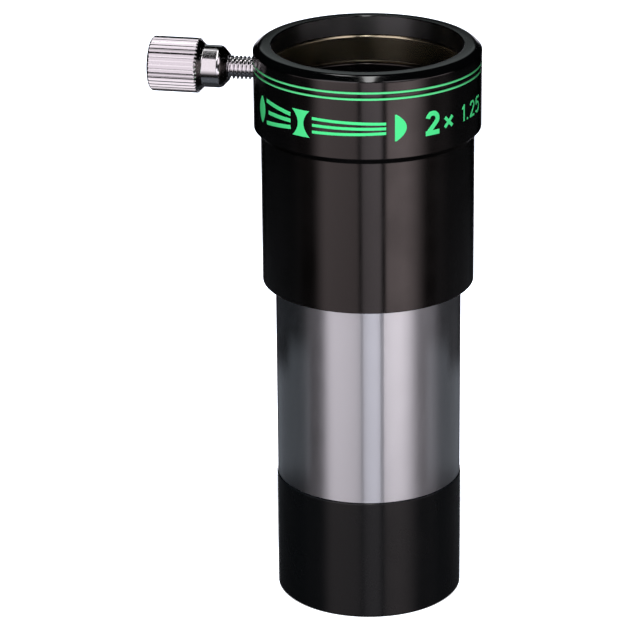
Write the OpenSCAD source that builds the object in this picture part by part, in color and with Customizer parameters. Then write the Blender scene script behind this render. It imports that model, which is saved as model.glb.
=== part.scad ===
// Barlow lens for 1.25-inch telescope eyepieces, in millimetres.
// The origin is the centre of the nose's bottom face, on the optical axis.
// +Z runs up the optical axis to the eyepiece socket.
// The thumbscrew leaves the collar along -X.

/* [Housing] */
// Height of the whole barlow, from the nose to the socket's rim
total_h = 97.8; // [96:0.1:110]
// Length of the black housing, measured down from the rim
housing_h = 41.2; // [38:0.1:44]
// Length of the wide collar, measured down from the rim
collar_h = 14; // [12:0.1:18]
// Outer diameter of the collar
collar_d = 38.1; // [37.9:0.1:42]
// Outer diameter of the grip below the collar
grip_d = 35.8; // [34:0.1:36]
// Diameter of the eyepiece socket, for a 31.75 mm eyepiece barrel
socket_d = 31.9; // [31.8:0.05:32]
// Depth from the rim to the stop that the eyepiece rests on
socket_depth = 33.8; // [28:0.1:36]
// Width of each of the two engraved lines around the collar
line_w = 0.4; // [0.3:0.1:0.8]
// Depth of the engraved lines
line_depth = 0.15; // [0.1:0.05:0.3]

/* [Clamp ring] */
// Height of the split brass ring that grips the eyepiece
ring_h = 5.1; // [3.5:0.1:5.5]
// Wall thickness of the brass ring
ring_wall = 0.85; // [0.6:0.05:0.9]
// Depth from the rim to the middle of the brass ring
ring_depth = 5.85; // [5.2:0.05:7]
// Width of the split in the brass ring
ring_split = 2.5; // [1:0.1:5]

/* [Thumbscrew] */
// Thread diameter of the thumbscrew
screw_d = 4; // [3:0.5:4]
// Length of bare thread between the knob and the collar
bare_thread = 4.45; // [3:0.05:8]
// Diameter of the knurled head
head_d = 9.3; // [8:0.1:14]
// Length of the knurled head
head_length = 8.1; // [5:0.1:12]
// Number of straight knurl grooves
knurl_count = 40; // [24:1:48]
// Diameter of the smooth shank between head and thread
shank_d = 7.2; // [6:0.1:7.6]
// Length of the smooth shank
shank_length = 2.8; // [1:0.1:6]

/* [Barrel] */
// Outer diameter of the bright barrel
barrel_d = 31.5; // [31.3:0.05:31.7]
// Bore of the barrel
barrel_bore_d = 28.6; // [28.2:0.1:29]
// Height of the lower glare baffle above the nose
lower_baffle_z = 38; // [30:1:44]
// Height of the upper glare baffle above the nose
upper_baffle_z = 52; // [46:1:58]
// Clear opening of the lower baffle
lower_baffle_hole_d = 25.8; // [24:0.1:27]
// Clear opening of the upper baffle
upper_baffle_hole_d = 26.4; // [24:0.1:27]

/* [Lens cell] */
// Outer diameter of the lens cell, which is the telescope side's nose
cell_d = 31.7; // [31.5:0.05:31.75]
// Visible height of the lens cell
cell_h = 21.4; // [20.4:0.1:23]
// Nominal diameter of the filter thread in the nose
filter_thread_d = 28.5; // [28:0.1:28.7]
// Depth of the filter thread
filter_thread_depth = 4.6; // [3:0.1:6]
// Height of the shoulder that the glass sits on
seat_z = 9; // [7:0.1:9.4]

/* [Lenses] */
// Diameter of the cemented negative doublet
lens_d = 27; // [26.4:0.1:27.2]
// Radius of the crown's concave lower face
front_radius = 50.5; // [40:0.5:90]
// Radius of the cemented face between crown and flint
joint_radius = 32; // [28:0.5:50]
// Radius of the flint's concave upper face
rear_radius = 102; // [90:1:200]
// Thickness of the crown at its centre
crown_thickness = 2; // [1.5:0.1:2.4]
// Thickness of the flint at its centre
flint_thickness = 4; // [3.8:0.1:4.4]

/* [Hidden] */
$fn = 160;
cut = 0.1; // how far a cutter runs past the face that it cuts
fine = 360; // segments around a lens face

// Housing
collar_r = collar_d / 2;
grip_r = grip_d / 2;
socket_r = socket_d / 2;
housing_bottom_z = total_h - housing_h;
collar_bottom_z = total_h - collar_h;
stop_z = total_h - socket_depth;
collar_bevel_h = 1;
rim_chamfer_w = 1.1;
rim_chamfer_h = 0.87;
socket_edge = 0.15;
line_spacing = 1.05;
upper_line_z = total_h - 2.7;
line_heights = [upper_line_z - line_spacing, upper_line_z];

// Clamp ring, with room to close on the eyepiece
ring_z = total_h - ring_depth;
ring_bore_r = socket_r + 0.05;
ring_r = ring_bore_r + ring_wall;
ring_groove_r = ring_r + 0.3;
ring_side_gap = 0.05;
ring_lead_w = 0.35;
ring_lead_h = 0.45;

// Thumbscrew, as distances from the optical axis
screw_z = ring_z + 0.45;
screw_r = screw_d / 2;
screw_hole_gap = 0.04;
stud_gap = 0.02;
stud_tip_x = ring_r + 0.55;
stud_chamfer = 0.4;
shank_tip_x = collar_r + bare_thread;
shank_x = shank_tip_x + 1.3;
neck_x = shank_x + shank_length;
head_x = neck_x + 1.1;
head_end_x = head_x + head_length;
stud_end_x = head_end_x - 3.5;
stud_hole_end_x = stud_end_x + 0.2;
shank_tip_r = screw_r + 0.3;
head_edge = 0.4;
knurl_depth = 0.3;

// Barrel, with the thread that holds it in the housing, and baffles
barrel_r = barrel_d / 2;
barrel_bore_r = barrel_bore_d / 2;
barrel_seat_gap = 0.03;
barrel_shoulder_z = housing_bottom_z - barrel_seat_gap;
barrel_thread_r = barrel_r - 0.4;
barrel_socket_r = barrel_thread_r + barrel_seat_gap;
baffle_thickness = 1.2;
baffle_bevel = 1;
baffle_gap = 0.02;

// Lens cell, with the spigot that holds it in the barrel
cell_r = cell_d / 2;
cell_bottom_edge = 0.3;
cell_top_edge = 0.25;
filter_r = filter_thread_d / 2;
filter_edge = 0.4;
spigot_r = barrel_bore_r + 0.45;
spigot_h = 4.6;
spigot_gap = 0.05;
spigot_end_gap = 0.6;
throat_r = lens_d / 2 - 0.9;
lens_bore_r = lens_d / 2 + 0.05;
ring_thread_r = lens_bore_r + 0.5;

// Doublet
lens_r = lens_d / 2;
lens_rim_w = 0.7;
cement_gap = 0.03;
function sag(radius, r) = radius - sqrt(radius * radius - r * r);
crown_bottom_z = seat_z + sag(front_radius, lens_r - lens_rim_w);
crown_top_z = crown_bottom_z + crown_thickness;
crown_rim_z = crown_top_z + sag(joint_radius, lens_r - 0.2);
flint_bottom_z = crown_top_z + cement_gap;
flint_top_z = flint_bottom_z + flint_thickness;
lens_top_z = flint_top_z + sag(rear_radius, lens_r - lens_rim_w);

// Retaining ring on the doublet
retainer_r = ring_thread_r - 0.05;
retainer_h = 2.5;
retainer_slot_w = 2;
retainer_slot_depth = 1.2;

// A solid turned about the optical axis from an outline of [radius, height]
module turned(outline) {
    rotate_extrude() polygon(outline);
}

// Lays the thumbscrew's parts along -X, with their own Z as the distance
// from the optical axis
module on_screw_axis() {
    translate([0, 0, screw_z]) rotate([0, -90, 0]) children();
}

// The outline of one engraved line
function line_outline(z) = [
    [collar_r, z - line_w / 2], [collar_r - line_depth, z - line_w / 2],
    [collar_r - line_depth, z + line_w / 2], [collar_r, z + line_w / 2]
];

module housing() {
    grip_outline = [
        [barrel_socket_r, housing_bottom_z], [grip_r, housing_bottom_z],
        [grip_r, collar_bottom_z - collar_bevel_h], [collar_r, collar_bottom_z]
    ];
    rim_outline = [
        [collar_r, total_h - rim_chamfer_h], [collar_r - rim_chamfer_w, total_h],
        [socket_r + socket_edge, total_h], [socket_r, total_h - socket_edge]
    ];
    groove_outline = [
        for (side = [1, -1], r = side > 0 ? [socket_r, ring_groove_r] : [ring_groove_r, socket_r])
            [r, ring_z + side * (ring_h / 2 + ring_side_gap)]
    ];
    stop_outline = [[socket_r, stop_z], [barrel_socket_r, stop_z]];
    color([0.05, 0.05, 0.055]) difference() {
        turned(concat(grip_outline, line_outline(line_heights[0]), line_outline(line_heights[1]),
                      rim_outline, groove_outline, stop_outline));
        on_screw_axis() translate([0, 0, ring_bore_r])
            cylinder(r = screw_r + screw_hole_gap, h = collar_r - ring_bore_r + 1);
    }
}

module clamp_ring() {
    bottom = ring_z - ring_h / 2;
    top = ring_z + ring_h / 2;
    color([0.72, 0.6, 0.32]) difference() {
        turned([
            [ring_bore_r + ring_lead_w, bottom], [ring_r, bottom], [ring_r, top],
            [ring_bore_r + ring_lead_w, top], [ring_bore_r, top - ring_lead_h],
            [ring_bore_r, bottom + ring_lead_h]
        ]);
        translate([-ring_split / 2, -ring_r - cut, bottom - cut])
            cube([ring_split, 2 * ring_wall + 2 * cut, ring_h + 2 * cut]);
    }
}

module thumbscrew_stud() {
    color([0.66, 0.66, 0.68]) on_screw_axis() turned([
        [0, stud_tip_x], [screw_r - stud_chamfer, stud_tip_x], [screw_r, stud_tip_x + stud_chamfer],
        [screw_r, stud_end_x - stud_chamfer], [screw_r - stud_chamfer, stud_end_x], [0, stud_end_x]
    ]);
}

module thumbscrew_knob() {
    stud_hole_r = screw_r + stud_gap;
    head_r = head_d / 2;
    shank_r = shank_d / 2;
    color([0.8, 0.79, 0.8]) on_screw_axis() difference() {
        turned([
            [stud_hole_r, shank_tip_x], [shank_tip_r, shank_tip_x], [shank_r, shank_x],
            [shank_r, neck_x], [head_r, head_x], [head_r, head_end_x - head_edge],
            [head_r - head_edge, head_end_x], [0, head_end_x], [0, stud_hole_end_x],
            [stud_hole_r, stud_hole_end_x]
        ]);
        for (i = [0 : knurl_count - 1]) rotate(i * 360 / knurl_count)
            translate([head_r, 0, head_x - head_edge])
                linear_extrude(head_length + 2 * head_edge) circle(r = knurl_depth, $fn = 4);
    }
}

module barrel() {
    counterbore_r = spigot_r + spigot_gap;
    counterbore_z = cell_h + spigot_h + spigot_end_gap;
    color([0.66, 0.67, 0.71]) turned([
        [counterbore_r, cell_h], [barrel_r, cell_h], [barrel_r, barrel_shoulder_z],
        [barrel_thread_r, barrel_shoulder_z], [barrel_thread_r, stop_z],
        [barrel_bore_r, stop_z], [barrel_bore_r, counterbore_z], [counterbore_r, counterbore_z]
    ]);
}

// A glare stop with a sharp lower edge around its opening
module baffle(z, hole_d) {
    outer_r = barrel_bore_r - baffle_gap;
    color([0.08, 0.08, 0.08]) turned([
        [hole_d / 2, z], [outer_r, z], [outer_r, z + baffle_thickness],
        [hole_d / 2 + baffle_bevel, z + baffle_thickness]
    ]);
}

module upper_baffle() { baffle(upper_baffle_z, upper_baffle_hole_d); }

module lower_baffle() { baffle(lower_baffle_z, lower_baffle_hole_d); }

module lens_cell() {
    spigot_top_z = cell_h + spigot_h;
    nose_outline = [
        [filter_r + filter_edge, 0], [cell_r - cell_bottom_edge, 0], [cell_r, cell_bottom_edge],
        [cell_r, cell_h - cell_top_edge], [cell_r - cell_top_edge, cell_h]
    ];
    spigot_outline = [[spigot_r, cell_h], [spigot_r, spigot_top_z], [ring_thread_r, spigot_top_z]];
    seat_outline = [
        [ring_thread_r, lens_top_z - 0.3], [lens_bore_r, lens_top_z - 0.3],
        [lens_bore_r, seat_z], [throat_r, seat_z]
    ];
    filter_outline = [
        [throat_r, filter_thread_depth], [filter_r, filter_thread_depth], [filter_r, filter_edge]
    ];
    color([0.06, 0.06, 0.06])
        turned(concat(nose_outline, spigot_outline, seat_outline, filter_outline));
}

module crown_lens() {
    color([0.75, 0.85, 0.85, 0.5]) difference() {
        translate([0, 0, seat_z]) cylinder(r = lens_r, h = crown_rim_z - seat_z);
        translate([0, 0, crown_bottom_z - front_radius]) sphere(r = front_radius, $fn = fine);
        translate([0, 0, crown_top_z + joint_radius]) sphere(r = joint_radius, $fn = fine);
    }
}

module flint_lens() {
    face_radius = joint_radius - cement_gap;
    color([0.7, 0.78, 0.85, 0.5]) difference() {
        intersection() {
            translate([0, 0, crown_top_z]) cylinder(r = lens_r, h = lens_top_z - crown_top_z);
            translate([0, 0, flint_bottom_z + face_radius]) sphere(r = face_radius, $fn = fine);
        }
        translate([0, 0, flint_top_z + rear_radius]) sphere(r = rear_radius, $fn = fine);
    }
}

module lens_retaining_ring() {
    bottom = lens_top_z;
    top = lens_top_z + retainer_h;
    color([0.1, 0.1, 0.1]) difference() {
        turned([[throat_r, bottom], [retainer_r, bottom], [retainer_r, top], [throat_r, top]]);
        translate([-retainer_r - cut, -retainer_slot_w / 2, top - retainer_slot_depth])
            cube([2 * (retainer_r + cut), retainer_slot_w, retainer_slot_depth + cut]);
    }
}

housing();
clamp_ring();
thumbscrew_stud();
thumbscrew_knob();
barrel();
upper_baffle();
lower_baffle();
lens_cell();
crown_lens();
flint_lens();
lens_retaining_ring();
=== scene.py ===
"""The looks of a 1.25-inch barlow lens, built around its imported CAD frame."""

import math

import bmesh
import bpy
from mathutils import Matrix, Vector


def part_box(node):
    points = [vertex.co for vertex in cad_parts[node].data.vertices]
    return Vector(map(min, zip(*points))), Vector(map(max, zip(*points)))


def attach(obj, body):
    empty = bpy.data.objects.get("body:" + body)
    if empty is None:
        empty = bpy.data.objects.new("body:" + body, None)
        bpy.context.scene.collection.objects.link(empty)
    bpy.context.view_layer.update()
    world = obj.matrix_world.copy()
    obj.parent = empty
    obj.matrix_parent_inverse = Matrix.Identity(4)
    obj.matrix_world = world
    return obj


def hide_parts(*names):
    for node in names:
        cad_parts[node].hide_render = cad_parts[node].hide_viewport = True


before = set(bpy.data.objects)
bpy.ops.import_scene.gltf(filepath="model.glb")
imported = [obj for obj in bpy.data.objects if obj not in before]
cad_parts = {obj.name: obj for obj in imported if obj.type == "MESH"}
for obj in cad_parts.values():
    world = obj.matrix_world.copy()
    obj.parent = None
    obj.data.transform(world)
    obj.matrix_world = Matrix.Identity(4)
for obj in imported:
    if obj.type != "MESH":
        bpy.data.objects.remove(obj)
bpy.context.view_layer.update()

MM = 0.001

# ---------------------------------------------------------------- sizes, in mm


def box_mm(node):
    """Lowest and highest corner of a CAD node, in millimetres."""
    low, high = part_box(node)
    return low / MM, high / MM


housing_low, housing_high = box_mm("housing")
barrel_low, barrel_high = box_mm("barrel")
_, cell_high = box_mm("lens_cell")
ring_low, ring_high = box_mm("clamp_ring")
stud_low, stud_high = box_mm("thumbscrew_stud")
knob_low, knob_high = box_mm("thumbscrew_knob")
crown_low, crown_high = box_mm("crown_lens")
_, flint_high = box_mm("flint_lens")
retainer_low, retainer_high = box_mm("lens_retaining_ring")

COLLAR_R = housing_high.y
TOP_Z = housing_high.z
HOUSING_BOTTOM_Z = housing_low.z
COLLAR_BOTTOM_Z = TOP_Z - 14
COLLAR_BEVEL_H = 1
GRIP_R = 17.9
SOCKET_R = 15.95
RIM_CHAMFER_W, RIM_CHAMFER_H = 1.1, 0.87
LINE_Z = (TOP_Z - 3.75, TOP_Z - 2.7)
LINE_W, LINE_DEPTH = 0.4, 0.15

BARREL_R = barrel_high.y
BARREL_THREAD_R = BARREL_R - 0.4
BARREL_BORE_R = 14.3
STOP_Z = barrel_high.z
SEAT_GAP = 0.03

RING_R = ring_high.y
RING_BORE_R = SOCKET_R + 0.05
RING_GROOVE_R = RING_R + 0.3
RING_SIDE_GAP = 0.05
RING_SPLIT = 2.5

SCREW_Z = (stud_low.z + stud_high.z) / 2
SCREW_R = (stud_high.z - stud_low.z) / 2
SCREW_HOLE_R = SCREW_R + 0.04
THREAD_PITCH = 0.7
HEAD_R = (knob_high.z - knob_low.z) / 2
SHANK_R = 3.6
KNURLS = 40

CELL_R = cell_high.y
CELL_TOP_Z = barrel_low.z
SPIGOT_R = BARREL_BORE_R + 0.45
FILTER_R = 14.25
FILTER_DEPTH = 4.6
FILTER_PITCH = 0.6
LENS_R = crown_high.y
LENS_RIM_W = 0.7
THROAT_R = LENS_R - 0.9
SEAT_Z = crown_low.z

TURNS = 256  # vertices around a large turned piece
EDGE = 0.07  # setback of a broken edge

# The photograph's side of the object, measured from -Y towards +X.
FRONT = math.radians(10.83)

# ---------------------------------------------------------------- mesh helpers


def broken(outline, edge=EDGE, steps=3):
    """The closed outline with each corner turned into a short curve. A point may
    carry its own setback as a third number."""
    points = []
    for i, corner in enumerate(outline):
        before, at, after = (Vector(outline[j][:2]) for j in (i - 1, i, (i + 1) % len(outline)))
        setback = corner[2] if len(corner) > 2 else edge
        if at.x == 0 or setback == 0:
            points.append(at)
            continue
        back, ahead = before - at, after - at
        start = at + back.normalized() * min(setback, back.length * 0.45)
        end = at + ahead.normalized() * min(setback, ahead.length * 0.45)
        for k in range(steps + 1):
            t = k / steps
            points.append(start * (1 - t) ** 2 + at * 2 * t * (1 - t) + end * t * t)
    return points


def about_z(radius, angle, height):
    """A point at a radius and height, with its angle measured from -Y towards +X."""
    return Vector((radius * math.sin(angle), -radius * math.cos(angle), height))


def along_screw(radius, angle, distance):
    """The same, about the thumbscrew's axis, with the distance out along -X."""
    return Vector((-distance, radius * math.sin(angle), SCREW_Z + radius * math.cos(angle)))


def surface(name, rows, place, closed_rows=True, turns_closed=True):
    """A mesh from rows of (radius, angle, height). Neighbouring rows are joined by
    quads, and a row at radius 0 becomes one point."""
    bm = bmesh.new()
    made = []
    for row in rows:
        if all(r == 0 for r, _, _ in row):
            made.append([bm.verts.new(place(*row[0]) * MM)])
        else:
            made.append([bm.verts.new(place(*p) * MM) for p in row])
    pairs = list(zip(made, made[1:]))
    if closed_rows:
        pairs.append((made[-1], made[0]))
    for one, two in pairs:
        count = max(len(one), len(two))
        for i in range(count if turns_closed else count - 1):
            j = (i + 1) % count
            corners = [one[i % len(one)], one[j % len(one)], two[j % len(two)], two[i % len(two)]]
            corners = list(dict.fromkeys(corners))
            if len(corners) > 2:
                bm.faces.new(corners)
    if closed_rows and not turns_closed:
        bm.faces.new([row[0] for row in made])
        bm.faces.new([row[-1] for row in made])
    bmesh.ops.recalc_face_normals(bm, faces=bm.faces)
    return finish_mesh(name, bm)


def finish_mesh(name, bm, sharp=40):
    """The bmesh as an object in the scene, smooth up to the sharp angle."""
    mesh = bpy.data.meshes.new(name)
    bm.to_mesh(mesh)
    bm.free()
    smooth(mesh, sharp)
    obj = bpy.data.objects.new(name, mesh)
    bpy.context.scene.collection.objects.link(obj)
    return obj


def smooth(mesh, sharp=40):
    mesh.shade_smooth()
    mesh.set_sharp_from_angle(angle=math.radians(sharp))


def lathe(name, outline, place=about_z, turns=TURNS, start=0.0, sweep=None):
    """A solid turned from a closed outline of (radius, height) points."""
    closed = sweep is None
    steps = turns if closed else turns + 1
    angles = [start + (math.tau if closed else sweep) * i / turns for i in range(steps)]
    rows = [[(p.x, a, p.y) for a in angles] for p in outline]
    on_axis = outline[0].x == 0 and outline[-1].x == 0
    return surface(name, rows, place, closed_rows=not on_axis, turns_closed=closed)


def cut(obj, cutter):
    """Takes the cutter's shape out of obj, and removes the cutter."""
    tool = obj.modifiers.new("cut", "BOOLEAN")
    tool.object, tool.operation, tool.solver = cutter, "DIFFERENCE", "EXACT"
    view = bpy.context.evaluated_depsgraph_get()
    mesh = bpy.data.meshes.new_from_object(obj.evaluated_get(view))
    obj.modifiers.clear()
    obj.data = mesh
    smooth(mesh)
    bpy.data.objects.remove(cutter)


def piece(obj, body, slot, material, *nodes):
    """Gives a finished mesh its material and its CAD body, and hides the CAD nodes it stands for.
    """
    for m in material if isinstance(material, (list, tuple)) else [material]:
        obj.data.materials.append(m)
    even = obj.modifiers.new("even_normals", "WEIGHTED_NORMAL")
    even.weight = 100
    even.keep_sharp = True
    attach(obj, body)
    if nodes:
        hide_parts(*nodes)
    return obj


# ---------------------------------------------------------------- materials


def node_in(tree, kind, **settings):
    node = tree.nodes.new(kind)
    for key, value in settings.items():
        setattr(node, key, value)
    return node


def feed(tree, socket, value):
    """Links a socket into another, or sets a plain value on it."""
    if isinstance(value, bpy.types.NodeSocket):
        tree.links.new(value, socket)
    else:
        socket.default_value = value


def calc(tree, operation, *values):
    node = node_in(tree, "ShaderNodeMath", operation=operation)
    for socket, value in zip(node.inputs, values):
        feed(tree, socket, value)
    return node.outputs[0]


def principled(name, colour, **values):
    """A material with one Principled shader. Each value is set on its own socket."""
    material = bpy.data.materials.new(name)
    material.use_nodes = True
    shader = material.node_tree.nodes["Principled BSDF"]
    shader.inputs["Base Color"].default_value = (*colour, 1)
    for key, value in values.items():
        shader.inputs[key.replace("_", " ")].default_value = value
    return material, material.node_tree, shader


def noise(tree, scale, detail=2.0, stretch=(1, 1, 1)):
    """Noise over the object's own place, finer along the axes stretched most."""
    where = node_in(tree, "ShaderNodeTexCoord").outputs["Object"]
    mapping = node_in(tree, "ShaderNodeMapping")
    feed(tree, mapping.inputs["Vector"], where)
    mapping.inputs["Scale"].default_value = stretch
    texture = node_in(tree, "ShaderNodeTexNoise")
    feed(tree, texture.inputs["Vector"], mapping.outputs[0])
    texture.inputs["Scale"].default_value = scale
    texture.inputs["Detail"].default_value = detail
    return texture.outputs["Fac"]


def vary(tree, shader, socket, amount, pattern):
    """Lets a socket swing by an amount around its value, with a noise pattern. Nearly
    all of the noise lies between 0.3 and 0.7."""
    base = shader.inputs[socket].default_value
    node = node_in(tree, "ShaderNodeMapRange")
    feed(tree, node.inputs["Value"], pattern)
    node.inputs["From Min"].default_value = 0.3
    node.inputs["From Max"].default_value = 0.7
    node.inputs["To Min"].default_value = base - amount
    node.inputs["To Max"].default_value = base + amount
    feed(tree, shader.inputs[socket], node.outputs[0])


def bump(tree, shader, pattern, depth_mm, strength=0.3):
    node = node_in(tree, "ShaderNodeBump")
    node.inputs["Strength"].default_value = strength
    node.inputs["Distance"].default_value = depth_mm * MM
    feed(tree, node.inputs["Height"], pattern)
    feed(tree, shader.inputs["Normal"], node.outputs[0])


def turned_about(tree, shader, axis):
    """Grooves run around the axis, so the gloss spreads along it."""
    tangent = node_in(tree, "ShaderNodeTangent", direction_type="RADIAL", axis=axis)
    feed(tree, shader.inputs["Tangent"], tangent.outputs[0])


# How fine the turning marks' noise is along x, y and z, for parts turned about z or x.
AROUND_Z = (0.4, 0.4, 30)
AROUND_X = (30, 0.4, 0.4)


def black_anodised(name, colour, roughness, specular, spread, tint=(1, 1, 1), ior=1.5):
    """Black metal, whose turning marks spread the gloss up and down."""
    material, tree, shader = principled(
        name, colour, Roughness=roughness, Specular_IOR_Level=specular, IOR=ior,
        Anisotropic=spread, Anisotropic_Rotation=0.25,
    )
    shader.inputs["Specular Tint"].default_value = (*tint, 1)
    turned_about(tree, shader, "Z")
    vary(tree, shader, "Roughness", 0.02, noise(tree, 160))
    bump(tree, shader, noise(tree, 400, stretch=AROUND_Z), 0.01, 0.12)
    return material


def bright_metal(name, colour, roughness, spread, axis, stretch, depth=0.01, polish=0.0):
    """Metal with turning marks around an axis. Its polish is a mirror-smooth layer."""
    material, tree, shader = principled(
        name, colour, Metallic=1.0, Roughness=roughness, Anisotropic=spread,
        Anisotropic_Rotation=0.25, Coat_Weight=polish, Coat_Roughness=0.02, Coat_IOR=2.3,
    )
    turned_about(tree, shader, axis)
    vary(tree, shader, "Roughness", 0.015, noise(tree, 220))
    bump(tree, shader, noise(tree, 500, stretch=stretch), depth, 0.2)
    return material


black_housing = black_anodised(
    "black_housing", (0.0005, 0.0005, 0.0005),
    roughness=0.19, specular=0.9, spread=0.8, tint=(1, 0.88, 0.84))
black_socket = black_anodised(
    "black_socket", (0.0008, 0.0008, 0.0008), roughness=0.4, specular=1.0, spread=0.95, ior=1.8)
polished_rim = black_anodised(
    "polished_rim", (0.0005, 0.0005, 0.0005), roughness=0.1, specular=0.9, spread=0.0)
black_cell = black_anodised(
    "black_cell", (0.003, 0.0034, 0.0036),
    roughness=0.26, specular=0.45, spread=0.8, tint=(1, 0.93, 0.9))
flat_black = black_anodised(
    "flat_black", (0.004, 0.004, 0.004), roughness=0.65, specular=0.3, spread=0.3)
bright_barrel = bright_metal(
    "bright_barrel", (0.86, 0.87, 0.91), roughness=0.32, spread=0.8,
    axis="Z", stretch=AROUND_Z, polish=1.0)
brass = bright_metal(
    "brass", (0.76, 0.67, 0.48), roughness=0.24, spread=0.7,
    axis="Z", stretch=AROUND_Z, depth=0.003)
screw_metal = bright_metal(
    "screw_metal", (0.84, 0.82, 0.84), roughness=0.15, spread=0.2,
    axis="X", stretch=AROUND_X, depth=0.001)


def green_paint(name, colour):
    material, tree, shader = principled(name, colour, Roughness=0.45, Specular_IOR_Level=0.4)
    vary(tree, shader, "Roughness", 0.05, noise(tree, 900))
    bump(tree, shader, noise(tree, 1500), 0.01, 0.3)
    return material


def coated_glass(name, ior):
    material, tree, shader = principled(
        name, (0.93, 0.97, 0.95), Roughness=0.02, IOR=ior, Transmission_Weight=1.0)
    shader.inputs["Specular Tint"].default_value = (0.5, 1, 0.62, 1)
    vary(tree, shader, "Roughness", 0.005, noise(tree, 60))
    return material


mark_paint = green_paint("mark_paint", (0.1, 0.92, 0.28))
line_paint = green_paint("line_paint", (0.14, 0.84, 0.28))
crown_glass = coated_glass("crown_glass", 1.52)
flint_glass = coated_glass("flint_glass", 1.65)

# ---------------------------------------------------------------- housing


def line_outline(z):
    """The groove of one engraved line, as its part of the collar's outline."""
    inner = COLLAR_R - LINE_DEPTH
    return [(COLLAR_R, z - LINE_W / 2, 0.03), (inner, z - LINE_W / 2, 0.02),
            (inner, z + LINE_W / 2, 0.02), (COLLAR_R, z + LINE_W / 2, 0.03)]


def ring_groove(side, r):
    """A corner of the clamp ring's groove, on its upper side (1) or its lower (-1)."""
    ring_mid = (ring_low.z + ring_high.z) / 2
    half = (ring_high.z - ring_low.z) / 2 + RING_SIDE_GAP
    return (r, ring_mid + side * half, 0.03)


def screw_hole():
    """The cutter for the M4 hole, with its small chamfer in the collar. It reaches a
    little past the collar on both sides."""
    start, chamfer, past = RING_BORE_R - 0.5, 0.3, 0.1
    outer_r, end = SCREW_HOLE_R + past + chamfer, COLLAR_R + 2
    return lathe("screw_hole", [
        Vector(p) for p in (
            (0, start), (SCREW_HOLE_R, start), (SCREW_HOLE_R, COLLAR_R - chamfer),
            (outer_r, COLLAR_R + past), (outer_r, end), (0, end),
        )
    ], along_screw, turns=64)


def housing():
    lower_bore_r = BARREL_THREAD_R + SEAT_GAP
    body = lathe("housing_body", broken([
        (lower_bore_r, HOUSING_BOTTOM_Z), (GRIP_R, HOUSING_BOTTOM_Z, 0.15),
        (GRIP_R, COLLAR_BOTTOM_Z - COLLAR_BEVEL_H, 0.1), (COLLAR_R, COLLAR_BOTTOM_Z, 0.12),
        *line_outline(LINE_Z[0]), *line_outline(LINE_Z[1]),
        (COLLAR_R, TOP_Z - RIM_CHAMFER_H, 0.2), (COLLAR_R - RIM_CHAMFER_W, TOP_Z, 0.45),
        (SOCKET_R + 0.15, TOP_Z), (SOCKET_R, TOP_Z - 0.15),
        ring_groove(1, SOCKET_R), ring_groove(1, RING_GROOVE_R),
        ring_groove(-1, RING_GROOVE_R), (*ring_groove(-1, SOCKET_R)[:2], 0.25),
        (SOCKET_R, STOP_Z, 0.01), (lower_bore_r, STOP_Z, 0.01),
    ]))
    cut(body, screw_hole())
    piece(body, "tube", "black_housing", [black_housing, black_socket, polished_rim], "housing")
    for face in body.data.polygons:
        on_wall = face.center.xy.length < (SOCKET_R + 0.02) * MM and abs(face.normal.z) < 0.1
        if on_wall and face.center.z > ring_high.z * MM:
            face.material_index = 1
        elif face.center.z > (TOP_Z - RIM_CHAMFER_H - 0.1) * MM and face.normal.z > 0.2:
            face.material_index = 2


def line_fill(z):
    """Paint in one engraved line, a little below the collar's surface."""
    outer, inner, half = COLLAR_R - 0.02, COLLAR_R - LINE_DEPTH, LINE_W / 2
    return broken([(inner, z - half), (outer, z - half), (outer - 0.02, z), (outer, z + half),
                   (inner, z + half)], 0.02)


def green_lines():
    for name, z in zip(("lower_green_line", "upper_green_line"), LINE_Z):
        paint = lathe(name, line_fill(z))
        cut(paint, screw_hole())
        piece(paint, "tube", "green_paint", line_paint)
        paint.visible_glossy = False


# ---------------------------------------------------------------- engraved marks

MARK_MID_Z = TOP_Z - 8.75
MARK_HEIGHT = 4.5


def arc(cx, cz, rx, rz, start, end, steps=16):
    """Points on an ellipse arc, with angles in degrees from +s towards +z."""
    angles = [math.radians(start + (end - start) * i / steps) for i in range(steps + 1)]
    return [(cx + rx * math.cos(a), cz + rz * math.sin(a)) for a in angles]


def line(s0, z0, s1, z1, steps=12):
    """Points on a straight line, with s the distance around the collar."""
    return [(s0 + (s1 - s0) * i / steps, z0 + (z1 - z0) * i / steps) for i in range(steps + 1)]


def patch(bm, left, right, columns=1):
    """Paint between two edges, wrapped on the collar as a thin solid. The edges are
    lists of (distance around the collar, height above the marks' middle)."""
    layers = []
    for radius in (COLLAR_R + 0.015, COLLAR_R - 0.05):
        layers.append([
            [bm.verts.new(about_z(radius, FRONT + p.x / COLLAR_R, MARK_MID_Z + p.y) * MM)
             for p in (Vector(a).lerp(Vector(b), k / columns) for k in range(columns + 1))]
            for a, b in zip(left, right)
        ])
    for layer in layers:
        for row, following in zip(layer, layer[1:]):
            for k in range(columns):
                bm.faces.new([row[k], row[k + 1], following[k + 1], following[k]])
    rims = []
    for layer in layers:
        down_right = [row[-1] for row in layer]
        up_left = [row[0] for row in layer[::-1]]
        rims.append(layer[0][:-1] + down_right + layer[-1][-2:0:-1] + up_left[:-1])
    for i in range(len(rims[0])):
        bm.faces.new([rims[0][i - 1], rims[0][i], rims[1][i], rims[1][i - 1]])


def stroke(bm, points, width):
    """A painted line of even width along the points."""
    sides = ([], [])
    for i, p in enumerate(points):
        ahead, behind = points[min(i + 1, len(points) - 1)], points[max(i - 1, 0)]
        along = (Vector(ahead) - Vector(behind)).normalized()
        across = Vector((-along.y, along.x)) * width / 2
        sides[0].append(Vector(p) + across)
        sides[1].append(Vector(p) - across)
    patch(bm, *sides)


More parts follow.
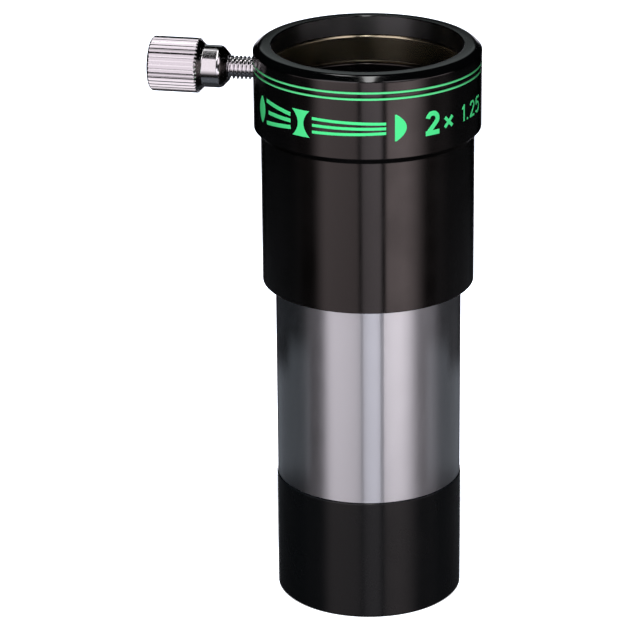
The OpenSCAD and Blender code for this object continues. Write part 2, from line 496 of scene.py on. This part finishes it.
def lens_mark(bm, middle, edge_w, left_bulge, right_bulge):
    """A lens seen from the side. A negative bulge makes that face hollow."""
    edges = ([], [])
    half, steps = MARK_HEIGHT / 2, 14
    for i in range(steps + 1):
        z = half * (2 * i / steps - 1)
        swell = 1 - (z / half) ** 2
        edges[0].append((middle - edge_w / 2 - left_bulge * swell, z))
        edges[1].append((middle + edge_w / 2 + right_bulge * swell, z))
    patch(bm, *edges, columns=6)


def ray_marks(bm):
    """Light that passes an objective, a hollow lens and an eye lens."""
    bold, fine = 0.66, 0.48
    lens_mark(bm, middle=-21.6, edge_w=0.3, left_bulge=0.9, right_bulge=0.9)
    lens_mark(bm, middle=-11.6, edge_w=3.4, left_bulge=-1.15, right_bulge=-1.15)
    lens_mark(bm, middle=4.6, edge_w=0.3, left_bulge=0, right_bulge=1.7)
    for level in (-1, 0, 1):
        stroke(bm, line(-20 + 0.6 * (level == 0), level * 1.9, -13.7, level * 1.1), bold)
        stroke(bm, line(-9.4, level * 1.15, 3.0, level * 0.8, 16), fine)


def digit_two(bm, s, height, width, thick):
    """A figure two: a hook, a slanted stem and a foot."""
    top, r = (height - thick) / 2, (width - thick) / 2
    hook = arc(s, top - r, r, r, 170, -30, 20)
    stroke(bm, hook + line(*hook[-1], s - r, -top, 10)[1:], thick)
    stroke(bm, line(s - r - thick / 2, -top, s + r + thick / 2, -top, 4), thick)


def magnification_marks(bm):
    """The numeral and cross that say how much the lens magnifies."""
    digit_two(bm, s=11.2, height=4.1, width=2.7, thick=0.8)
    cross, mid, arm, arm_w = 14.6, -0.45, 0.85, 0.55
    for side in (-1, 1):
        stroke(bm, line(cross - arm, mid - side * arm, cross + arm, mid + side * arm), arm_w)


def barrel_size_marks(bm):
    """The eyepiece size in inches, in thin figures."""
    height, thin, s = 2.8, 0.35, 18.6
    half = (height - thin) / 2
    stroke(bm, line(s - 0.5, half - 0.5, s, half), thin)
    stroke(bm, line(s, half + thin / 2, s, -height / 2), thin)
    stroke(bm, line(s + 0.9, -half, s + 1.25, -half, 2), thin)
    digit_two(bm, s + 2.8, height, 1.7, thin)
    five = s + 5.2
    stroke(bm, line(five + 0.75, half, five - 0.6, half, 4), thin)
    stroke(bm, line(five - 0.6, half, five - 0.7, 0.2, 4), thin)
    stroke(bm, arc(five - 0.1, -0.42, 0.85, 0.82, 135, -140, 24), thin)


def collar_marks():
    for name, draw in (("ray_diagram_mark", ray_marks), ("magnification_mark", magnification_marks),
                       ("eyepiece_size_mark", barrel_size_marks)):
        bm = bmesh.new()
        draw(bm)
        bmesh.ops.recalc_face_normals(bm, faces=bm.faces)
        piece(finish_mesh(name, bm), "tube", "green_paint", mark_paint)


# ---------------------------------------------------------------- clamp ring and thumbscrew


def clamp_ring():
    half_gap = RING_SPLIT / 2 / RING_R
    low, high = ring_low.z, ring_high.z
    ring = lathe("brass_clamp_ring", broken([
        (RING_BORE_R + 0.35, low), (RING_R, low), (RING_R, high), (RING_BORE_R + 0.35, high, 0.05),
        (RING_BORE_R, high - 0.45, 0.1), (RING_BORE_R, low + 0.45, 0.1),
    ]), start=half_gap, sweep=math.tau - 2 * half_gap)
    piece(ring, "ring", "brass_ring", brass, "clamp_ring")


def thread_rows(start, end, major, minor, pitch, turns):
    """Rows that follow a right-hand thread's helix. Each row is one height in the
    thread's own outline: a flat crest, two flanks and a flat root."""
    shape = [(0, major), (0.06, major), (0.13, major), (0.28, (major + minor) / 2),
             (0.44, minor), (0.56, minor), (0.69, minor), (0.84, (major + minor) / 2)]
    rows = []
    for turn in range(-1, math.ceil((end - start) / pitch) + 1):
        for share, radius in shape:
            rows.append([])
            for i in range(turns + 1):
                x = start + (turn + share + i / turns) * pitch
                rows[-1].append((radius, -math.tau * i / turns, min(max(x, start), end)))
    return rows


def thumbscrew_thread():
    """The M4 stud, with its helical thread and a coned tip at both ends."""
    start, end, turns = -stud_high.x, -stud_low.x, 48
    minor, cone_length, cone_rise = SCREW_R - 0.43, 0.5, 0.6
    tip_r = minor - 0.1
    rows = [
        [(min(r, tip_r + min(x - start, end - x) / cone_length * cone_rise), a, x)
         for r, a, x in row]
        for row in thread_rows(start, end, SCREW_R, minor, THREAD_PITCH, turns)
    ]
    bm = bmesh.new()
    made = [[bm.verts.new(along_screw(*p) * MM) for p in row] for row in rows]
    for one, two in zip(made, made[1:]):
        for i in range(turns):
            bm.faces.new([one[i], one[i + 1], two[i + 1], two[i]])
    bmesh.ops.remove_doubles(bm, verts=bm.verts, dist=1e-7)
    bmesh.ops.dissolve_degenerate(bm, dist=1e-7, edges=bm.edges)
    bmesh.ops.holes_fill(bm, edges=[e for e in bm.edges if e.is_boundary], sides=0)
    bmesh.ops.recalc_face_normals(bm, faces=bm.faces)
    stud = finish_mesh("thumbscrew_thread", bm, sharp=30)
    piece(stud, "knob", "screw_steel", screw_metal, "thumbscrew_stud")


def knurl_radius(offset):
    """Radius across one knurl, from a groove's bottom at offset 0 to the next at 1."""
    depth, flat = 0.3, 0.13
    share = min(offset, 1 - offset)
    return HEAD_R - depth * max(0, 1 - share / (0.5 - flat))


def thumbscrew_knob():
    """The head and shank. The knurl runs out through the bevels at both ends."""
    tip, end = -knob_high.x, -knob_low.x
    bore_r, bore_end = SCREW_R + 0.02, -stud_low.x + 0.2
    shank_start, neck, head = tip + 1.15, tip + 4.1, tip + 5.2
    core = broken([
        (bore_r, tip, 0.03), (SCREW_R + 0.3, tip, 0.06), (SHANK_R, shank_start, 0.5),
        (SHANK_R, neck, 0.08), (HEAD_R, head, 0.05), (HEAD_R, end - 0.4, 0.05),
        (HEAD_R - 0.4, end, 0.1), (0, end), (0, bore_end), (bore_r, bore_end, 0.02),
    ])
    outline = []
    for p, q in zip(core, core[1:] + core[:1]):
        steep = p.x > SHANK_R and q.x > SHANK_R and p.x != q.x
        steps = 5 if steep else 1
        outline += [p.lerp(q, k / steps) for k in range(steps)]
    parts = [0, 0.19, 0.37, 0.5, 0.63, 0.81]
    places = [(tooth + part, part) for tooth in range(KNURLS) for part in parts]
    split = next(i for i, p in enumerate(outline) if p.x == 0 and p.y == end)
    outline = outline[split + 1:] + outline[:split + 1]
    rows = []
    for p in outline:
        rows.append([])
        for place, part in places:
            knurled = p.x > SHANK_R + 0.2
            radius = min(p.x, knurl_radius(part)) if knurled else p.x
            rows[-1].append((radius, math.tau * place / KNURLS, p.y))
    knob = surface("thumbscrew_head", rows, along_screw, closed_rows=False)
    piece(knob, "knob", "screw_steel", screw_metal, "thumbscrew_knob")


# ---------------------------------------------------------------- barrel and lens cell


def barrel():
    counterbore_r, counterbore_z = SPIGOT_R + 0.05, cell_high.z + 0.6
    shoulder_z = HOUSING_BOTTOM_Z - SEAT_GAP
    tube = lathe("barrel_tube", broken([
        (counterbore_r, CELL_TOP_Z, 0.03), (BARREL_R, CELL_TOP_Z, 0.08),
        (BARREL_R, shoulder_z, 0.1), (BARREL_THREAD_R, shoulder_z, 0.03),
        (BARREL_THREAD_R, STOP_Z, 0.15), (BARREL_BORE_R, STOP_Z, 0.2),
        (BARREL_BORE_R, counterbore_z), (counterbore_r, counterbore_z),
    ]))
    piece(tube, "tube", "bright_barrel", bright_barrel, "barrel")


def baffles():
    for node, hole_r in (("upper_baffle", 13.2), ("lower_baffle", 12.9)):
        low, high = box_mm(node)
        stop = lathe(node + "_stop", broken([
            (hole_r, low.z, 0.02), (high.y, low.z), (high.y, high.z), (hole_r + 1, high.z),
        ], 0.05))
        piece(stop, "tube", "flat_black", flat_black, node)


def filter_thread():
    """The nose's inner thread, as its outline from the bottom upwards."""
    depth = 0.3
    points = []
    for i in range(int((FILTER_DEPTH - 0.9) / FILTER_PITCH)):
        z = 0.5 + i * FILTER_PITCH
        points += [(FILTER_R, z, 0.02), (FILTER_R - depth, z + FILTER_PITCH / 2, 0.04)]
    return points[::-1]


def lens_cell():
    ring_thread_r = LENS_R + 0.55
    step_z = retainer_low.z - 0.3
    cell = lathe("lens_cell_nose", broken([
        (FILTER_R + 0.4, 0, 0.1), (CELL_R - 0.3, 0), (CELL_R, 0.3),
        (CELL_R, CELL_TOP_Z - 0.25), (CELL_R - 0.25, CELL_TOP_Z), (SPIGOT_R, CELL_TOP_Z, 0.03),
        (SPIGOT_R, cell_high.z), (ring_thread_r, cell_high.z), (ring_thread_r, step_z),
        (LENS_R + 0.05, step_z, 0.03), (LENS_R + 0.05, SEAT_Z, 0.03), (THROAT_R, SEAT_Z),
        (THROAT_R, FILTER_DEPTH), (FILTER_R, FILTER_DEPTH), (FILTER_R, FILTER_DEPTH - 0.4, 0.02),
        *filter_thread(), (FILTER_R, 0.45, 0.02),
    ]))
    piece(cell, "tube", "black_cell", black_cell, "lens_cell")


# ---------------------------------------------------------------- glass


def sag(radius, r):
    """How far a spherical face has curved away from flat, at r from the axis."""
    return radius - math.sqrt(radius * radius - r * r)


def dome(radius, vertex_z, edge_r, steps=24):
    """Points on a spherical lens face that curves up from its vertex. A negative
    radius curves down."""
    return [
        Vector((r, vertex_z + math.copysign(sag(abs(radius), r), radius)))
        for r in (edge_r * i / steps for i in range(steps + 1))
    ]


def lens(name, lower, upper, rim_z, glass, node):
    """One element with polished faces and a blackened ground edge."""
    low, high = rim_z
    bevel = 0.12
    rim = broken([
        (LENS_R - LENS_RIM_W, low), (LENS_R, low, bevel),
        (LENS_R, high, bevel), (LENS_R - 0.2, high),
    ])[1:-1]
    outline = lower + [p for p in rim if p.x > lower[-1].x] + upper[::-1]
    element = lathe(name, outline)
    piece(element, "tube", "coated_glass", [glass, flat_black], node)
    for face in element.data.polygons:
        centre = face.center
        if math.hypot(centre.x, centre.y) > (LENS_R - 0.25) * MM and abs(face.normal.z) < 0.8:
            face.material_index = 1


def doublet():
    """Two lenses with a thin layer of cement between them. The first three numbers are
    the radii of their faces."""
    front, joint, rear = 50.5, 32, 102
    crown_thick, cement, flint_thick = 2, 0.03, 4
    open_r = LENS_R - LENS_RIM_W
    crown_bottom = SEAT_Z + sag(front, open_r)
    crown_top = crown_bottom + crown_thick
    flint_bottom = crown_top + cement
    flint_top = flint_bottom + flint_thick
    lens("crown_element", dome(-front, crown_bottom, open_r),
         dome(joint, crown_top, LENS_R - 0.2), (SEAT_Z, crown_high.z), crown_glass, "crown_lens")
    edge_z = flint_bottom + sag(joint, LENS_R)
    lens("flint_element", dome(joint, flint_bottom, LENS_R - 0.05),
         dome(rear, flint_top, open_r), (edge_z, flint_high.z), flint_glass, "flint_lens")


def retaining_ring():
    low, high = retainer_low.z, retainer_high.z
    ring = lathe("lens_retainer", broken([
        (THROAT_R, low), (retainer_high.y, low), (retainer_high.y, high), (THROAT_R + 0.5, high),
        (THROAT_R, high - 0.8),
    ]))
    slot_length, slot_w, slot_depth = 40, 2, 1.2
    bm = bmesh.new()
    bmesh.ops.create_cube(bm, size=1)
    bmesh.ops.scale(bm, vec=Vector((slot_length, slot_w, 2 * slot_depth)) * MM, verts=bm.verts)
    bmesh.ops.translate(bm, vec=Vector((0, 0, high)) * MM, verts=bm.verts)
    cut(ring, finish_mesh("spanner_slots", bm))
    piece(ring, "tube", "flat_black", flat_black, "lens_retaining_ring")


# ---------------------------------------------------------------- camera, floor and light


def camera():
    """A long lens, level with the photograph's: its place, pitch, yaw and roll."""
    distance, height = 566.1, 269.4
    pitch, yaw, roll = math.radians(21.224), math.radians(-0.92), math.radians(-0.537)
    data = bpy.data.cameras.new("camera")
    data.sensor_width, data.lens = 36, 203.58
    data.clip_start, data.clip_end = 0.01, 100
    cam = bpy.data.objects.new("camera", data)
    bpy.context.scene.collection.objects.link(cam)
    heading = FRONT - yaw
    ahead = Vector((
        -math.sin(heading) * math.cos(pitch),
        math.cos(heading) * math.cos(pitch),
        -math.sin(pitch),
    ))
    right = Vector((math.cos(heading), math.sin(heading), 0))
    up = right.cross(ahead)
    right, up = (
        right * math.cos(roll) + up * math.sin(roll),
        up * math.cos(roll) - right * math.sin(roll),
    )
    cam.matrix_world = Matrix((right, up, -ahead)).transposed().to_4x4()
    cam.location = about_z(distance, FRONT, height) * MM
    bpy.context.scene.camera = cam


def floor():
    bm = bmesh.new()
    bmesh.ops.create_grid(bm, x_segments=8, y_segments=8, size=3)
    plane = finish_mesh("floor", bm)
    material, tree, shader = principled(
        "pale_floor", (0.86, 0.86, 0.86), Roughness=0.9, Specular_IOR_Level=0.1,
        Emission_Color=(1, 1, 1, 1), Emission_Strength=0.65,
    )
    vary(tree, shader, "Roughness", 0.03, noise(tree, 30))
    plane.data.materials.append(material)
    plane.visible_glossy = plane.visible_diffuse = False


def key_softbox():
    """The lamp that lights the paint and the floor, high up on the photograph's side.
    Gloss doesn't see it, because the cards below stand for what the metal mirrors."""
    size, strength = 0.2, 500
    place = about_z(0.51, FRONT, 1.43)
    data = bpy.data.lights.new("key_softbox", "AREA")
    data.shape, data.size = "SQUARE", size
    data.energy = strength * math.pi * size * size
    data.color = (0.88, 0.97, 1.12)
    lamp = bpy.data.objects.new("key_softbox", data)
    lamp.location = place
    lamp.rotation_euler = (-place).to_track_quat("-Z", "Y").to_euler()
    lamp.visible_camera = lamp.visible_glossy = False
    bpy.context.scene.collection.objects.link(lamp)


def window(tree, value, low, high):
    """1 where the value lies between two ends, each with its own softness."""
    sides = []
    for (end, soft), outwards in ((low, -1), (high, 1)):
        node = node_in(tree, "ShaderNodeMapRange", interpolation_type="SMOOTHSTEP")
        feed(tree, node.inputs["Value"], value)
        node.inputs["From Min"].default_value = end + outwards * soft
        node.inputs["From Max"].default_value = end - outwards * soft
        sides.append(node.outputs[0])
    return calc(tree, "MULTIPLY", *sides)


# The studio's cards as the metal mirrors them. Sideways angles run from the
# photograph's side towards its right, and heights from the horizon, in degrees. Each
# end of a card has its own softness and strength.
WARM, COOL, BLUISH = (1, 0.93, 0.98), (0.97, 0.95, 1.04), (0.86, 0.95, 1.08)
FRONT_CARDS = (
    # from, softness, strength; to, softness, strength; heights and softness; colour
    ((-80, 6, 0.55), (-48, 6, 0.55), (-8, 13, 3), WARM),
    ((-53, 9, 1.25), (-9.9, 1, 1.0), (-30, 54, 3), WARM),
    ((-6.3, 1, 1.3), (14.3, 0.8, 1.75), (-30, 4, 3), COOL),
    ((19, 0.8, 3.1), (52, 16, 3.5), (-25, -12, 4), WARM),
    ((19, 0.8, 1.3), (52, 16, 1.3), (24, 58, 3), WARM),
    ((48, 6, 1.2), (88, 8, 1.0), (-8, 13, 3), WARM),
    ((86, 8, 0.09), (150, 10, 0.09), (-45, -21, 1), WARM),
)
# These lie on both sides alike: behind the object, below it, and in low side strips.
TWIN_CARDS = (
    ((165, 4, 0.3), (200, 4, 0.3), (16.9, 30, 0.4), (0.9, 1, 1)),
    ((167, 3, 1.1), (200, 3, 1.1), (-40, 4, 3), COOL),
    ((-10, 1, 0.1), (60, 10, 0.1), (-95, -48, 3), BLUISH),
    ((60, 10, 0.03), (200, 1, 0.03), (-95, -48, 3), BLUISH),
    ((78, 6, 0.22), (118, 10, 0.22), (-23.8, -21.7, 0.3), BLUISH),
    ((118, 10, 0.22), (160, 6, 0.22), (-23.8, -22.05, 0.3), BLUISH),
)
# The front cards weaken towards the floor, between these two heights.
FADE_HEIGHTS, FADE_STRENGTHS = (-28, -8), (0.2, 1)
# Overhead lamps: how far they lean to the right (from, to), angles over the top
# from the front (from, to), and strength.
LAMPS = (((-0.033, 0.065), (50, 108), 4.5), ((-0.19, -0.08), (108, 124), 2.5))
LAMP_SOFTNESS = (0.01, 2)  # of the lean, and of the angle over the top
# A faint glow from below for the gloss, from and to a height with its softness. Then
# the even light for dull surfaces.
GLOW, GLOW_HEIGHTS = 0.004, ((-95, 3), (-20, 3))
AMBIENT = 0.04


def studio():
    world = bpy.data.worlds.new("studio")
    bpy.context.scene.world = world
    world.use_nodes = True
    world.cycles.sampling_method = "NONE"
    tree = world.node_tree
    tree.nodes.clear()
    facing = node_in(tree, "ShaderNodeTexCoord").outputs["Generated"]

    def along(axis):
        node = node_in(tree, "ShaderNodeVectorMath", operation="DOT_PRODUCT")
        feed(tree, node.inputs[0], facing)
        node.inputs[1].default_value = axis
        return node.outputs["Value"]

    def scaled(colour, share):
        node = node_in(tree, "ShaderNodeVectorMath", operation="SCALE")
        node.inputs[0].default_value = colour
        feed(tree, node.inputs["Scale"], share)
        return node.outputs[0]

    def ramp(value, starts, ends):
        node = node_in(tree, "ShaderNodeMapRange")
        feed(tree, node.inputs["Value"], value)
        node.inputs["From Min"].default_value, node.inputs["From Max"].default_value = starts
        node.inputs["To Min"].default_value, node.inputs["To Max"].default_value = ends
        return node.outputs[0]

    right = along((math.cos(FRONT), math.sin(FRONT), 0))
    front = along((math.sin(FRONT), -math.cos(FRONT), 0))
    up = along((0, 0, 1))
    sideways = calc(tree, "DEGREES", calc(tree, "ARCTAN2", right, front))
    either_side = calc(tree, "ABSOLUTE", sideways)
    height = calc(tree, "DEGREES", calc(tree, "ARCSINE", up))
    over = calc(tree, "DEGREES", calc(tree, "ARCTAN2", up, front))
    fade = ramp(height, FADE_HEIGHTS, FADE_STRENGTHS)

    parts = [scaled((GLOW, GLOW, GLOW), window(tree, height, *GLOW_HEIGHTS))]
    for leans, angles, strength in LAMPS:
        share = calc(tree, "MULTIPLY",
                     window(tree, right, *((lean, LAMP_SOFTNESS[0]) for lean in leans)),
                     window(tree, over, *((angle, LAMP_SOFTNESS[1]) for angle in angles)))
        parts.append(scaled((strength, strength, strength), share))
    for cards, angle in ((FRONT_CARDS, sideways), (TWIN_CARDS, either_side)):
        for start, end, (low, high, blur), colour in cards:
            (start_at, start_soft, start_power), (end_at, end_soft, end_power) = start, end
            share = calc(tree, "MULTIPLY",
                         window(tree, angle, (start_at, start_soft), (end_at, end_soft)),
                         window(tree, height, (low, blur), (high, blur)))
            share = calc(tree, "MULTIPLY", share,
                         ramp(angle, (start_at, end_at), (start_power, end_power)))
            if cards is FRONT_CARDS:
                share = calc(tree, "MULTIPLY", share, fade)
            parts.append(scaled(colour, share))

    total = parts[0]
    for part in parts[1:]:
        node = node_in(tree, "ShaderNodeVectorMath", operation="ADD")
        feed(tree, node.inputs[0], total)
        feed(tree, node.inputs[1], part)
        total = node.outputs[0]
    # Gloss mirrors the cards, dull surfaces get an even light, and the camera sees white.
    ray = node_in(tree, "ShaderNodeLightPath").outputs
    seen = node_in(tree, "ShaderNodeBackground")
    feed(tree, seen.inputs["Color"], total)
    for kind, level in (("Is Diffuse Ray", AMBIENT), ("Is Camera Ray", 1)):
        even = node_in(tree, "ShaderNodeBackground")
        even.inputs["Color"].default_value = (level, level, level, 1)
        mix = node_in(tree, "ShaderNodeMixShader")
        feed(tree, mix.inputs[0], ray[kind])
        feed(tree, mix.inputs[1], seen.outputs[0])
        feed(tree, mix.inputs[2], even.outputs[0])
        seen = mix
    output = node_in(tree, "ShaderNodeOutputWorld")
    feed(tree, output.inputs["Surface"], seen.outputs[0])


def lighting():
    studio()
    key_softbox()
    bpy.context.scene.view_settings.view_transform = "Standard"


camera()
housing()
green_lines()
collar_marks()
clamp_ring()
thumbscrew_thread()
thumbscrew_knob()
barrel()
baffles()
lens_cell()
doublet()
retaining_ring()
floor()
lighting()
